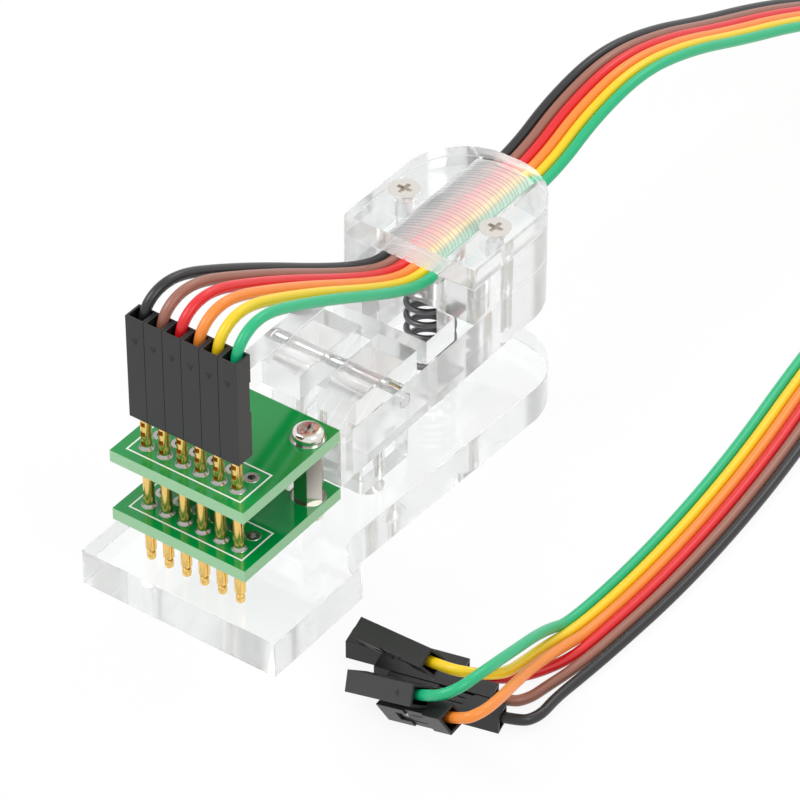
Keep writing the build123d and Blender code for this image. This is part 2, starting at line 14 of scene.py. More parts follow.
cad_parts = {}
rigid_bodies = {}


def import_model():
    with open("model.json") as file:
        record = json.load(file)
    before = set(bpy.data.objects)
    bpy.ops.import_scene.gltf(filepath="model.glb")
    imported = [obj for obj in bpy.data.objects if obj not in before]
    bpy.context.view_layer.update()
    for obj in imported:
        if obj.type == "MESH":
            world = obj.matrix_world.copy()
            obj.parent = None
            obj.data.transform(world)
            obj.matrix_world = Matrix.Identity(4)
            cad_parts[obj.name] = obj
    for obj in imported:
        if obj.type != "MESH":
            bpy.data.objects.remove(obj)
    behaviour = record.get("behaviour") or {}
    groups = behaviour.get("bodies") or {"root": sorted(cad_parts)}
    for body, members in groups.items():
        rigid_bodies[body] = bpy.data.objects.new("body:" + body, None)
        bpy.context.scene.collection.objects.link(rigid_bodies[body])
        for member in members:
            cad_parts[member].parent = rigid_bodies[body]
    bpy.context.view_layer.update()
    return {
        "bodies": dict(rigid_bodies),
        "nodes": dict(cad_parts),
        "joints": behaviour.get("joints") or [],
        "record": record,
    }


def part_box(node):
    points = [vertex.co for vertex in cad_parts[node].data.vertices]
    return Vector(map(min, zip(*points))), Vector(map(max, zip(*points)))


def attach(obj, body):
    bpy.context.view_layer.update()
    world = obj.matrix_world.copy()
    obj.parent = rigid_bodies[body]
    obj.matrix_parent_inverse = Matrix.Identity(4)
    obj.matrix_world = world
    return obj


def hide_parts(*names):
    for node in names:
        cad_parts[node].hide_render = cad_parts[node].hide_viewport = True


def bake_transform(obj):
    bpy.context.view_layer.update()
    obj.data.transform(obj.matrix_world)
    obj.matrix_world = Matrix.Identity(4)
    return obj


LOG = logging.getLogger("test_clip")
MM = 0.001

# Sizes that several assemblies share, in millimetres.
PROBES = 6
PROBE_PITCH = 2.54
PROBE_Y = -29.1
SOCKET_BOTTOM = 26.1
SOCKET_LENGTH = 14.0
TERMINAL_TOP = 8.6

# Points closer than this, in millimetres, are one point; facets flatter than this are one face.
SAME_POINT = 0.002
SAME_FACE_DEGREES = 0.8


class Body(Enum):
    """The two bodies that most pieces ride on."""

    BASE = "base"
    LEVER = "lever"


class Lead(Enum):
    """The leads in order across the ribbon, each with the colour of its insulation."""

    BLACK = "#1F1F22"
    BROWN = "#9A6554"
    RED = "#E01D24"
    ORANGE = "#F28C33"
    YELLOW = "#F4CE12"
    GREEN = "#14B47A"

    @property
    def word(self) -> str:
        """The lead's name as its nodes have it."""
        return self.name.lower()

    @property
    def lane(self) -> float:
        """The lead's place across the ribbon, in pitches from the middle."""
        return list(Lead).index(self) - (len(Lead) - 1) / 2


@dataclass(frozen=True)
class Stand:
    """How a loose socket lies: the place of its mating end in millimetres, and its turns in degrees."""

    origin: tuple[float, float, float]
    turn: float
    pitch: float
    roll: float

    @property
    def along(self) -> Vector:
        """The direction from the mating end to the wire."""
        turn, pitch = math.radians(self.turn), math.radians(self.pitch)
        level = math.cos(pitch)
        return Vector((math.cos(turn) * level, math.sin(turn) * level, math.sin(pitch)))

    @property
    def matrix(self) -> Matrix:
        """The socket's place: its origin at the mating end, its Z along the wire."""
        turn, roll = math.radians(self.turn), math.radians(self.roll)
        side = Vector((-math.sin(turn), math.cos(turn), 0))
        up = self.along.cross(side)
        across = side * math.cos(roll) + up * math.sin(roll)
        axes = Matrix((across, self.along.cross(across), self.along)).transposed().to_4x4()
        return Matrix.Translation(Vector(self.origin) * MM) @ axes


# Where the loose sockets lie beside the clip.
LOOSE_STANDS: dict[Lead, Stand] = {
    Lead.BLACK: Stand((25.31, -27.69, 1.26), 14.0, 0.0, 0.0),
    Lead.BROWN: Stand((22.81, -25.59, 1.26), 14.0, 0.0, 180.0),
    Lead.RED: Stand((17.81, -24.09, 1.26), 14.0, 0.0, 180.0),
    Lead.ORANGE: Stand((27.55, -29.90, 1.50), -20.0, 30.0, 113.0),
    Lead.YELLOW: Stand((19.53, -23.95, 3.76), -18.0, 20.0, 128.0),
    Lead.GREEN: Stand((22.69, -29.61, 2.06), -18.0, 29.0, 242.0),
}


def linear(colour: str) -> tuple[float, float, float, float]:
    """Turn an sRGB hex colour to linear.

    Args:
        colour: The colour as "#RRGGBB".

    Returns:
        Red, green, blue and an alpha of 1.
    """
    channels = [int(colour[i:i + 2], 16) / 255 for i in (1, 3, 5)]
    curve = [c / 12.92 if c <= 0.04045 else ((c + 0.055) / 1.055) ** 2.4 for c in channels]
    return (*curve, 1.0)


def add_node(tree: bpy.types.NodeTree, kind: str, settings: dict | None = None, **links) -> bpy.types.Node:
    """Add one node with its settings and links.

    Args:
        tree: The tree that the node joins.
        kind: The node's Blender type.
        settings: Attributes of the node, and values of its inputs by name.
        **links: Output sockets, by the input that each feeds, with "_" for a blank in its name.

    Returns:
        The new node.
    """
    node = tree.nodes.new(kind)
    for name, value in (settings or {}).items():
        if name in node.inputs:
            node.inputs[name].default_value = value
        else:
            setattr(node, name, value)
    for name, source in links.items():
        tree.links.new(source, node.inputs[name.replace("_", " ")])
    return node


def mix_shaders(
    tree: bpy.types.NodeTree, share: bpy.types.NodeSocket, *shaders: bpy.types.NodeSocket,
) -> bpy.types.NodeSocket:
    """Mix two shaders.

    Args:
        tree: The tree that they are in.
        share: How much of the second one shows, from 0 to 1.
        *shaders: The outputs of both.

    Returns:
        The output of the mix.
    """
    mix = add_node(tree, "ShaderNodeMixShader")
    for index, socket in enumerate((share, *shaders)):
        tree.links.new(socket, mix.inputs[index])
    return mix.outputs[0]


def seen_directly(tree: bpy.types.NodeTree) -> bpy.types.NodeSocket:
    """A value of 1 for what the camera, a mirror or clear sheet shows, and 0 for light."""
    rays = add_node(tree, "ShaderNodeLightPath")
    seen = rays.outputs["Is Camera Ray"]
    for kind in ("Is Glossy Ray", "Is Transmission Ray"):
        either = add_node(tree, "ShaderNodeMath", {"operation": "MAXIMUM"})
        tree.links.new(seen, either.inputs[0])
        tree.links.new(rays.outputs[kind], either.inputs[1])
        seen = either.outputs[0]
    return seen


@dataclass(frozen=True)
class Finish:
    """One finish: what the material is and how light meets it."""

    name: str
    colour: str
    roughness: float
    metallic: float = 0.0
    ior: float = 1.5
    transmission: float = 0.0
    grain_mm: float = 0.0
    grain_depth_mm: float = 0.0
    grain_stretch: float = 1.0
    grain_detail: float = 3.0
    grain_strength: float = 0.5

    def material(self) -> bpy.types.Material:
        """The finish as a material, made once."""
        found = bpy.data.materials.get(self.name)
        if found:
            return found
        made = bpy.data.materials.new(self.name)
        made.use_nodes = True
        tree = made.node_tree
        tree.nodes.clear()
        settings = {
            "Base Color": linear(self.colour), "Roughness": self.roughness, "Metallic": self.metallic,
            "IOR": self.ior, "Transmission Weight": self.transmission,
        }
        shader = add_node(tree, "ShaderNodeBsdfPrincipled", settings)
        if self.grain_mm:
            place = add_node(tree, "ShaderNodeTexCoord")
            stretch = add_node(
                tree, "ShaderNodeMapping", {"Scale": (1.0, 1.0, 1 / self.grain_stretch)},
                Vector=place.outputs["Object"],
            )
            noise = add_node(
                tree, "ShaderNodeTexNoise",
                {"Scale": 1 / (self.grain_mm * MM), "Detail": self.grain_detail},
                Vector=stretch.outputs["Vector"],
            )
            bump = add_node(
                tree, "ShaderNodeBump",
                {"Strength": self.grain_strength, "Distance": self.grain_depth_mm * MM},
                Height=noise.outputs["Fac"],
            )
            tree.links.new(bump.outputs["Normal"], shader.inputs["Normal"])
        add_node(tree, "ShaderNodeOutputMaterial", Surface=shader.outputs["BSDF"])
        return made


# Cast acrylic sheet with its polished face: clear as glass, with a mirror's gloss.
ACRYLIC_FACE = Finish("cast_acrylic_face", "#FDFEFE", 0.01, ior=1.49, transmission=1.0)
# The same sheet where a laser cut it: fine ripples make it whitish, with a soft gloss.
ACRYLIC_EDGE = Finish(
    "cast_acrylic_laser_edge", "#FDFEFE", 0.11, ior=1.49, transmission=0.74,
    grain_mm=0.35, grain_depth_mm=0.008, grain_stretch=14.0,
)
# The same sheet where a mill cut the groove for the ribbon: frosted white.
ACRYLIC_MILLED = Finish("cast_acrylic_milled", "#FCFCFC", 0.28, ior=1.49, transmission=0.8)
# The crests that the mill left in the groove: real ridges in fine arcs, painted grey as painted shade on the
# clear sheet.
ACRYLIC_CREST_PAINTED_SHADE = Finish("cast_acrylic_mill_crest", "#C2BEBE", 0.3, ior=1.49, transmission=0.6)
# Green solder mask over copper: an even, smooth lacquer.
SOLDER_MASK = Finish("green_solder_mask", "#008F40", 0.1)
# Bare glass and epoxy board where it was routed: pale green and dull.
BOARD_EDGE = Finish("routed_board_edge", "#9CCBA0", 0.7, grain_mm=0.25, grain_depth_mm=0.03)
# Screen-printed ink: flat white.
WHITE_INK = Finish("white_board_ink", "#EDF2EC", 0.6)
# Tin-lead levelled pads and solder: bright, soft silver.
SOLDER = Finish("levelled_solder", "#AFAEA9", 0.2, metallic=1.0)
# Gold over nickel on turned brass: warm and bright.
GOLD = Finish("gold_plated_brass", "#F0C878", 0.2, metallic=1.0)
# Bright steel screws: clear reflections, a little soft from cold forming.
SCREW_STEEL = Finish("nickel_plated_steel_screw", "#E2DED8", 0.14, metallic=1.0)
# Ground steel pin.
PIN_STEEL = Finish("ground_steel_pin", "#D5D5D6", 0.16, metallic=1.0)
# Hexagonal standoffs: nickel-plated brass, turned and bright.
STANDOFF_NICKEL = Finish("nickel_plated_brass_standoff", "#D8D4CA", 0.2, metallic=1.0)
# Drawn spring wire: dark grey with a dull gleam.
SPRING_STEEL = Finish("drawn_spring_steel", "#6F6F72", 0.36, metallic=1.0)
# Thin bright wire of the springs in the probes.
FINE_SPRING = Finish("fine_spring_steel", "#C9C9CC", 0.3, metallic=1.0)
# Stamped, tinned bronze of the crimp terminals.
TIN = Finish("tinned_bronze", "#D6D2C8", 0.3, metallic=1.0)
# Moulded nylon of the sockets: black, with the fine texture of the mould.
NYLON = Finish("moulded_black_nylon", "#1B1B1D", 0.4, grain_mm=0.2, grain_depth_mm=0.006)


def insulation(lead: Lead) -> Finish:
    """Extruded PVC of one lead: smooth, with a soft sheen along the wire."""
    return Finish(f"{lead.word}_pvc_insulation", lead.value, 0.34, ior=1.53)


def mesh_from(bm: bmesh.types.BMesh, name: str) -> bpy.types.Mesh:
    """Turn an edit mesh into a mesh and free it."""
    mesh = bpy.data.meshes.new(name)
    bm.to_mesh(mesh)
    bm.free()
    return mesh


def circle(
    bm: bmesh.types.BMesh, centre: Vector, diameter: float, height: float, steps: int,
) -> list[bmesh.types.BMVert]:
    """Add the points of a level circle.

    Args:
        bm: The mesh that gets them.
        centre: Middle of the circle's seat, in metres.
        diameter: Its diameter, in millimetres.
        height: Its height over the seat, in millimetres.
        steps: How many points it has.

    Returns:
        The points in order.
    """
    radius = diameter * MM / 2
    turns = [2 * math.pi * i / steps for i in range(steps)]
    return [
        bm.verts.new(centre + Vector((math.cos(turn) * radius, math.sin(turn) * radius, height * MM)))
        for turn in turns
    ]


def skin(
    bm: bmesh.types.BMesh, loops: list[list[bmesh.types.BMVert]], closed: bool = True,
) -> list[bmesh.types.BMFace]:
    """Lay faces between neighbouring loops of points.

    Args:
        bm: The mesh that gets them.
        loops: The loops, each with as many points.
        closed: Whether the last loop also joins the first.

    Returns:
        The new faces.
    """
    following = loops[1:] + loops[:1] if closed else loops[1:]
    faces = []
    for first, second in zip(loops, following):
        for i in range(len(first)):
            j = (i + 1) % len(first)
            faces.append(bm.faces.new((first[i], first[j], second[j], second[i])))
    return faces


def band(
    bm: bmesh.types.BMesh, line: list[tuple[float, float]], back: list[tuple[float, float]],
    low: float, high: float, index: int,
) -> None:
    """Add a closed band between two lines.

    Args:
        bm: The mesh that gets it.
        line: Points of its front line, in millimetres.
        back: As many points of its back line.
        low: Its underside, in millimetres.
        high: Its top, in millimetres.
        index: Its material.
    """
    rows = [
        [bm.verts.new(Vector((x, y, z)) * MM) for x, y in points]
        for points, z in ((line, low), (back, low), (back, high), (line, high))
    ]
    faces = [bm.faces.new(row) for row in ([r[0] for r in rows], [r[-1] for r in rows])]
    for first, second in zip(rows, rows[1:] + rows[:1]):
        for i in range(len(first) - 1):
            faces.append(bm.faces.new((first[i], first[i + 1], second[i + 1], second[i])))
    for face in faces:
        face.material_index = index


def new_piece(name: str, mesh: bpy.types.Mesh, finishes: Iterable[Finish]) -> bpy.types.Object:
    """Make an object from a mesh and put it in the scene.

    Args:
        name: The piece's name.
        mesh: Its mesh, in the frame's own place.
        finishes: Its finishes, in the order of its material indices.

    Returns:
        The new object.
    """
    for finish in finishes:
        mesh.materials.append(finish.material())
    piece = bpy.data.objects.new(name, mesh)
    bpy.context.scene.collection.objects.link(piece)
    return piece


def smooth_but_corners(bm: bmesh.types.BMesh, corner_degrees: float = 38.0) -> None:
    """Shade a mesh smooth and keep its corners sharp."""
    for face in bm.faces:
        face.smooth = True
    for edge in bm.edges:
        edge.smooth = edge.is_manifold and edge.calc_face_angle(math.pi) < math.radians(corner_degrees)


def flat_faces(mesh: bpy.types.Mesh) -> bpy.types.Mesh:
    """Turn a mesh's normals so that large flat faces stay flat beside their broken edges.

    Args:
        mesh: The mesh, with its sharp corners marked.

    Returns:
        A new mesh with its own normals.
    """
    piece = bpy.data.objects.new(mesh.name, mesh)
    bpy.context.scene.collection.objects.link(piece)
    weighted = piece.modifiers.new("weighted", "WEIGHTED_NORMAL")
    weighted.mode, weighted.weight, weighted.keep_sharp = "FACE_AREA", 100, True
    graph = bpy.context.evaluated_depsgraph_get()
    graph.update()
    made = bpy.data.meshes.new_from_object(
        piece.evaluated_get(graph), preserve_all_data_layers=True, depsgraph=graph,
    )
    bpy.data.objects.remove(piece)
    return made


def carve(mesh: bpy.types.Mesh, boxes: Iterable[tuple[Vector, Vector]]) -> bpy.types.Mesh:
    """Cut boxes out of a mesh.

    Args:
        mesh: The closed mesh.
        boxes: Lowest and highest corner of each box.

    Returns:
        The mesh without them.
    """
    piece = bpy.data.objects.new(mesh.name, mesh)
    bpy.context.scene.collection.objects.link(piece)
    cutters = []
    for low, high in boxes:
        bm = bmesh.new()
        bmesh.ops.create_cube(
            bm, size=1.0, matrix=Matrix.Translation((low + high) / 2) @ Matrix.Diagonal((*(high - low), 1)),
        )
        cutter = bpy.data.objects.new("cutter", mesh_from(bm, "cutter"))
        bpy.context.scene.collection.objects.link(cutter)
        cut = piece.modifiers.new("cut", "BOOLEAN")
        cut.operation, cut.solver, cut.object = "DIFFERENCE", "EXACT", cutter
        cutters.append(cutter)
    graph = bpy.context.evaluated_depsgraph_get()
    graph.update()
    made = bpy.data.meshes.new_from_object(piece.evaluated_get(graph))
    for thing in (piece, *cutters):
        bpy.data.objects.remove(thing)
    return made


def joined_facets(mesh: bpy.types.Mesh, delimit: Iterable[str] = ()) -> bmesh.types.BMesh:
    """Open a mesh for editing, its doubled points merged and its flat facets joined.

    Args:
        mesh: The mesh to open.
        delimit: What keeps facets apart, as Blender names it.

    Returns:
        The edit mesh.
    """
    bm = bmesh.new()
    bm.from_mesh(mesh)
    bmesh.ops.remove_doubles(bm, verts=bm.verts, dist=SAME_POINT * MM)
    bmesh.ops.dissolve_limit(
        bm, angle_limit=math.radians(SAME_FACE_DEGREES), verts=bm.verts, edges=bm.edges, delimit=set(delimit),
    )
    return bm


def break_edges(
    bm: bmesh.types.BMesh, width_mm: float, least_degrees: float = 42.0, roundness: float = 0.6,
) -> None:
    """Round a mesh's sharp outer corners.

    Args:
        bm: The mesh.
        width_mm: Width of the rounding, in millimetres.
        least_degrees: Corners flatter than this stay.
        roundness: Shape of the rounding, 0.5 for a round one and 1 for a square one.
    """
    sharp = [
        e for e in bm.edges
        if e.is_manifold and e.is_convex and e.calc_face_angle(0) > math.radians(least_degrees)
    ]
    bmesh.ops.bevel(
        bm, geom=sharp, offset=width_mm * MM, segments=2, profile=roundness, affect="EDGES",
        clamp_overlap=True,
    )
    bm.normal_update()


@dataclass
class Assembly:
    """Pieces of one kind, made round the frame's nodes."""

    frame: dict

    def keep(self, node: str, finish: Finish) -> None:
        """Give a node of the frame its finish."""
        data = self.frame["nodes"][node].data
        data.materials.clear()
        data.materials.append(finish.material())
        LOG.info("%s: %s", node, finish.name)

    def settle(self, piece: bpy.types.Object, body: Body, slot: str, *nodes: str) -> bpy.types.Object:
        """Let a piece ride on a body and stand for nodes of the frame.

        Args:
            piece: The finished piece, in place.
            body: The body that it rides on.
            slot: The record's material slot; not used.
            *nodes: The nodes that it stands for.

        Returns:
            The same piece.
        """
        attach(piece, body.value)
        if nodes:
            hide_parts(*nodes)
        LOG.info("%s rides on %s", piece.name, body.value)
        return piece

    def dressed_mesh(
        self, node: str, edge_break_mm: float, relief_mm: float = 0.0,
        side: Callable[[bmesh.types.BMFace], int] | None = None,
    ) -> bpy.types.Mesh:
        """Copy a node's mesh, join its facets and break its edges.

        Args:
            node: The node to copy.
            edge_break_mm: Width of the broken edge.
            relief_mm: How far the surface steps back, so that stacked pieces don't share a face.
            side: Picks the material index of each face.

        Returns:
            The new mesh.
        """
        bm = joined_facets(self.frame["nodes"][node].data, ("NORMAL",))
        bm.normal_update()
        if relief_mm:
            for vert in bm.verts:
                vert.co -= vert.normal * relief_mm * MM
        if edge_break_mm:
            break_edges(bm, edge_break_mm)
        if side:
            for face in bm.faces:
                face.material_index = side(face)
        smooth_but_corners(bm)
        return flat_faces(mesh_from(bm, node))


@dataclass
class ClearBody(Assembly):
    """The acrylic plates and posts."""

    slot: str = "clear_acrylic"
    edge_break_mm: float = 0.14
    relief_mm: float = 0.012
    face_slope: float = 0.9
    channel_mm: float = 8.2
    channel_front: float = 11.95
    channel_rear: float = 32.4
    channel_rear_radius: float = 8.4
    channel_top: float = 24.92
    channel_skin: float = 0.05
    crest_pitch: float = 0.66
    crest_waver: float = 0.16
    crest_radius: float = 5.2
    crest_width: float = 0.13
    crest_height: float = 0.05
    crest_start: float = 0.6
    crest_sag: float = 0.15
    crest_clear_front: float = 0.1
    crest_clear_rear: float = 0.4
    crest_least_points: int = 4
    groove_steps: int = 16
    pieces: dict[str, Body] = field(default_factory=lambda: {
        "base_plate": Body.BASE, "pivot_post_left": Body.BASE, "pivot_post_right": Body.BASE,
        "lever_arm": Body.LEVER, "cable_saddle": Body.LEVER, "cable_cover": Body.LEVER,
    })

    def build(self) -> None:
        """Make each plate and post with polished faces and laser-cut edges."""
        for node, body in self.pieces.items():
            upright = "post" in node
            mesh = self.dressed_mesh(
                node, self.edge_break_mm, self.relief_mm,
                lambda face: int(abs(face.normal.x if upright else face.normal.z) < self.face_slope),
            )
            piece = new_piece(f"clear_{node}", mesh, (ACRYLIC_FACE, ACRYLIC_EDGE))
            piece.visible_shadow = False
            self.settle(piece, body, self.slot, node)
        self.milled_groove()

    def rear_at(self, x: float) -> float:
        """Where the cover's round rear ends the groove at one place across it, in millimetres."""
        radius = self.channel_rear_radius
        return self.channel_rear - radius + math.sqrt(radius * radius - x * x)

    def crest_at(self, x: float, start: float) -> float:
        """Where an arc that the mill left lies at one place across the groove, in millimetres."""
        return start + math.sqrt(self.crest_radius ** 2 - x * x) - self.crest_sag * self.crest_radius

    def milled_groove(self) -> None:
        """Frost the groove over the ribbon, with the arcs that the mill left, painted grey as shade."""
        half, steps, top = self.channel_mm / 2, self.groove_steps, self.channel_top
        xs = [half * (2 * i / steps - 1) for i in range(steps + 1)]
        bm = bmesh.new()
        band(
            bm, [(x, self.channel_front) for x in xs], [(x, self.rear_at(x)) for x in xs],
            top - self.channel_skin, top, 0,
        )
        front = self.channel_front + self.crest_clear_front
        start = self.channel_front - self.crest_radius + self.crest_start
        number = 0
        while start < self.channel_rear + 1:
            arc = [
                (x, self.crest_at(x, start)) for x in xs
                if front < self.crest_at(x, start) < self.rear_at(x) - self.crest_clear_rear
            ]
            if len(arc) >= self.crest_least_points:
                back = [(x, y + self.crest_width) for x, y in arc]
                # Material 1 on the crests' real ridges: their grey is painted shade.
                band(bm, arc, back, top, top + self.crest_height, 1)
            number += 1
            start += self.crest_pitch + self.crest_waver * math.sin(number * number)
        bmesh.ops.recalc_face_normals(bm, faces=bm.faces)
        piece = new_piece("milled_groove", mesh_from(bm, "milled_groove"), (ACRYLIC_MILLED, ACRYLIC_CREST_PAINTED_SHADE))
        piece.visible_shadow = False
        self.settle(piece, Body.LEVER, self.slot)


@dataclass
class BoardPair(Assembly):
    """The two circuit boards with their pads, solder and printed frames."""

    slot: str = "green_board"
    edge_break_mm: float = 0.06
    face_slope: float = 0.8
    row_from_front_mm: float = 2.9
    pad_mm: float = 1.84
    hole_mm: float = 1.0
    plated_mm: float = 0.9
    barrel_mm: float = 1.32
    copper_mm: float = 0.04
    ring_pad_mm: float = 4.1
    ring_hole_mm: float = 2.3
    ring_spread_mm: float = 14.4
    ring_from_front_mm: float = 14.7
    ink_mm: float = 0.02
    ink_line_mm: float = 0.2
    ink_margin_mm: float = 1.68
    solder_rim_mm: float = 0.16
    solder_bite_mm: float = 0.02
    solder_foot_mm: float = 0.03
    solder_waist_mm: tuple[float, float] = (0.2, 0.14)
    solder_top_mm: float = 0.4
    ring_steps: int = 36
    solder_steps: int = 28

    def ring(self, bm: bmesh.types.BMesh, centre: Vector, inner: float, outer: float, rise: float) -> None:
        """Add a flat ring, such as a pad round a hole.

        Args:
            bm: The mesh that gets it.
            centre: Middle of its seat, in metres.
            inner: Diameter of its hole, in millimetres.
            outer: Its diameter, in millimetres.
            rise: Its thickness along Z, in millimetres, down when negative.
        """
        taper = 2 * min(abs(rise), self.copper_mm)
        profile = ((inner, 0.0), (outer, 0.0), (outer - taper, rise), (inner, rise))
        skin(bm, [circle(bm, centre, diameter, height, self.ring_steps) for diameter, height in profile])

    def fillet(self, bm: bmesh.types.BMesh, centre: Vector, rise: float) -> None:
        """Add the solder cone between a barrel and its pad.

        Args:
            bm: The mesh that gets it.
            centre: Middle of the pad's seat, in metres.
            rise: 1 for a cone upward, -1 for one downward.
        """
        wider, waist = self.solder_waist_mm
        bore = self.barrel_mm - self.solder_bite_mm
        profile = (
            (bore, self.solder_foot_mm), (self.pad_mm - self.solder_rim_mm, self.solder_foot_mm),
            (self.barrel_mm + wider, waist), (bore, self.solder_top_mm),
        )
        skin(bm, [
            circle(bm, centre, diameter, height * rise, self.solder_steps) for diameter, height in profile
        ])

    def metal(self, node: str, low: Vector, high: Vector) -> None:
        """Make the pads of both rows, the ring pads and the solder of one board.

        Args:
            node: The board's node.
            low: Lowest corner of its box.
            high: Highest corner of its box.
        """
        bm = bmesh.new()
        lanes = [(i - (PROBES - 1) / 2) * PROBE_PITCH * MM for i in range(PROBES)]
        for z, rise in ((high.z, 1), (low.z, -1)):
            for x in lanes:
                row = low.y + self.row_from_front_mm * MM
                self.ring(bm, Vector((x, row, z)), self.barrel_mm, self.pad_mm, self.copper_mm * rise)
                self.fillet(bm, Vector((x, row, z)), rise)
                second = row + PROBE_PITCH * MM
                self.ring(bm, Vector((x, second, z)), self.plated_mm, self.pad_mm, self.copper_mm * rise)
                if rise < 0:
                    depth = (high.z - low.z) / MM
                    self.ring(bm, Vector((x, second, z)), self.plated_mm, self.hole_mm, depth)
            for x in (-self.ring_spread_mm * MM / 2, self.ring_spread_mm * MM / 2):
                place = Vector((x, low.y + self.ring_from_front_mm * MM, z))
                self.ring(bm, place, self.ring_hole_mm, self.ring_pad_mm, self.copper_mm * rise)
        bmesh.ops.recalc_face_normals(bm, faces=bm.faces)
        smooth_but_corners(bm)
        name = f"{node}_pads"
        self.settle(new_piece(name, mesh_from(bm, name), (SOLDER,)), Body.LEVER, "tinned_bronze")

    def printed_frame(self, node: str, low: Vector, high: Vector) -> None:
        """Print the white frame round the two rows on a board's top.

        Args:
            node: The board's node.
            low: Lowest corner of its box.
            high: Highest corner of its box.
        """
        row = low.y + self.row_from_front_mm * MM
        half = ((PROBES - 1) / 2 * PROBE_PITCH + self.ink_margin_mm) * MM
        front, back = row - self.ink_margin_mm * MM, row + (PROBE_PITCH + self.ink_margin_mm) * MM
        line = self.ink_line_mm * MM
        bars = [
            ((-half, front), (half, front + line)),
            ((-half, back - line), (half, back)),
            ((-half, front + line), (-half + line, back - line)),
            ((half - line, front + line), (half, back - line)),
        ]
        bm = bmesh.new()
        for (x0, y0), (x1, y1) in bars:
            size = Vector((x1 - x0, y1 - y0, self.ink_mm * MM))
            middle = Vector(((x0 + x1) / 2, (y0 + y1) / 2, high.z + self.ink_mm * MM / 2))
            place = Matrix.Translation(middle) @ Matrix.Diagonal((*size, 1))
            bmesh.ops.create_cube(bm, size=1.0, matrix=place)
        name = f"{node}_print"
        self.settle(new_piece(name, mesh_from(bm, name), (WHITE_INK,)), Body.LEVER, self.slot)

    def build(self) -> None:
        """Make both boards."""
        for node in ("upper_board", "lower_board"):
            low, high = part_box(node)
            mesh = self.dressed_mesh(
                node, self.edge_break_mm, side=lambda face: int(abs(face.normal.z) < self.face_slope),
            )
            board = new_piece(f"masked_{node}", mesh, (SOLDER_MASK, BOARD_EDGE))
            self.settle(board, Body.LEVER, self.slot, node)
            self.metal(node, low, high)
            self.printed_frame(node, low, high)


@dataclass
class Hardware(Assembly):
    """Screws, pin, standoffs, springs, probes and the crimp terminals of the sockets on the clip."""

    plunger_steps: int = 32
    plunger_top_radius: float = 0.4
    plunger_profile: tuple[tuple[float, float], ...] = (
        (0.26, 0.0), (0.42, 0.05), (0.5, 0.14), (0.54, 0.3), (0.55, 0.55), (0.54, 0.85), (0.5, 1.04),
        (0.42, 1.14), (0.33, 1.18), (0.33, 1.38), (0.44, 1.42), (0.51, 1.52), (0.53, 1.66),
    )
    finishes: dict[str, Finish] = field(default_factory=lambda: {
        "post_screws": SCREW_STEEL, "spring_seat_screw": SCREW_STEEL, "cover_screws": SCREW_STEEL,
        "upper_board_screws": SCREW_STEEL, "lower_board_screws": SCREW_STEEL, "pivot_pin": PIN_STEEL,
        "board_standoffs": STANDOFF_NICKEL, "front_terminals": TIN,
    })

    def build(self) -> None:
        """Give each node its metal."""
        for node, finish in self.finishes.items():
            self.keep(node, finish)
        for number in range(1, PROBES + 1):
            self.keep(f"probe_barrel_{number}", GOLD)
            self.spring(f"probe_spring_{number}", f"plunger_{number}", FINE_SPRING, "dark_spring_steel")
            self.plunger(number)
        self.spring("return_spring", Body.BASE.value, SPRING_STEEL, "dark_spring_steel")

    def spring(self, node: str, foot: str, finish: Finish, slot: str) -> None:
        """Copy a spring's mesh into a piece of its own, with its wire's finish.

        Args:
            node: The spring's node.
            foot: The body that its foot stands on; not used.
            finish: Its wire.
            slot: The record's material slot; not used.
        """
        mesh = self.frame["nodes"][node].data.copy()
        mesh.materials.clear()
        piece = new_piece(f"wound_{node}", mesh, (finish,))
        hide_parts(node)
        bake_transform(piece)
        LOG.info("%s wound", piece.name)

    def plunger(self, number: int) -> None:
        """Turn one plunger: a round bead as its tip, a neck and a shank with a rounded shoulder."""
        low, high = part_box(f"probe_plunger_{number}")
        middle = (low + high) / 2
        axis = Vector((middle.x, middle.y, 0.0))
        bm = bmesh.new()
        profile = [(radius, low.z / MM + height) for radius, height in self.plunger_profile]
        profile.append((self.plunger_top_radius, high.z / MM))
        loops = [circle(bm, axis, 2 * radius, height, self.plunger_steps) for radius, height in profile]
        skin(bm, loops, closed=False)
        bm.faces.new(reversed(loops[0]))
        bm.faces.new(loops[-1])
        bmesh.ops.recalc_face_normals(bm, faces=bm.faces)
        smooth_but_corners(bm)
        name = f"turned_plunger_{number}"
        piece = new_piece(name, mesh_from(bm, name), (GOLD,))
        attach(piece, f"plunger_{number}")
        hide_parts(f"probe_plunger_{number}")
        LOG.info("%s turned", piece.name)


